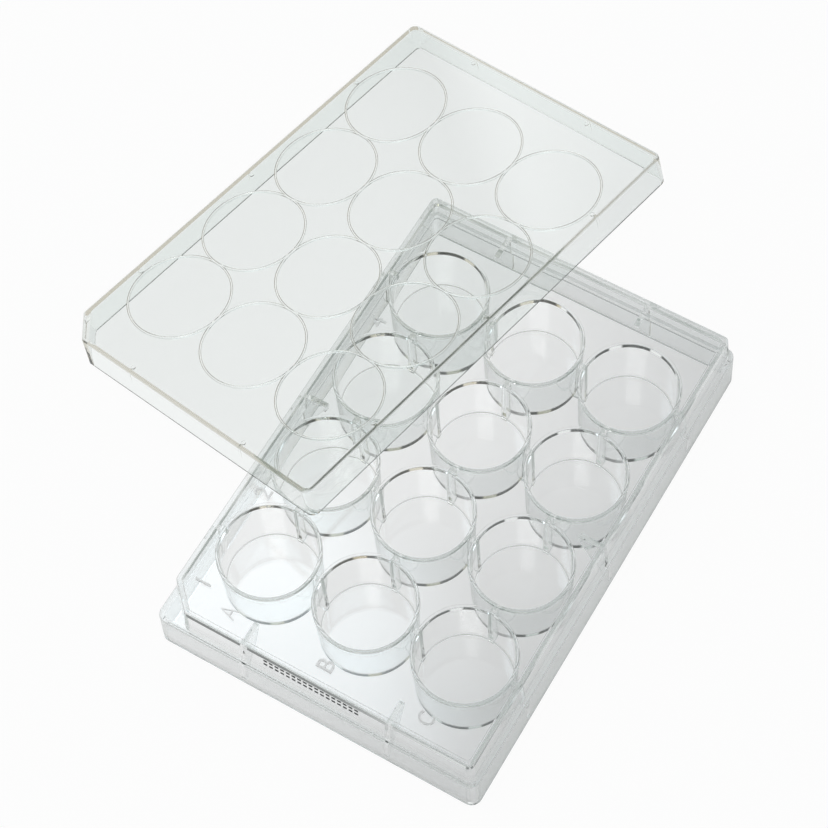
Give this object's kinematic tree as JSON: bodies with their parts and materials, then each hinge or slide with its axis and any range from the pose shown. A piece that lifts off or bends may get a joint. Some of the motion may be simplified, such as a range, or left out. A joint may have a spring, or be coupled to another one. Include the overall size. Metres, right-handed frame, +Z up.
{
  "type": "well plate",
  "caption": "Clear plastic multi-well cell-culture plate on a stepped skirt with one cut corner, and its loose flat lid, lifted off and leaning on the plate.",
  "frame": {"origin": "middle of the plate's rectangular footprint, on the surface it stands on", "axes": "+X along the plate's long side, from column 1 to column 4; +Y along its short side, towards row A; +Z up, out of the wells"},
  "size_m": [0.1753, 0.1436, 0.0329],
  "materials": {
    "plate_plastic": "clear moulded polystyrene, polished",
    "lid_plastic": "clear moulded polystyrene, polished"
  },
  "bodies": {
    "root": {"plate": "plate_plastic", "lid": "lid_plastic"}
  },
  "joints": []
}
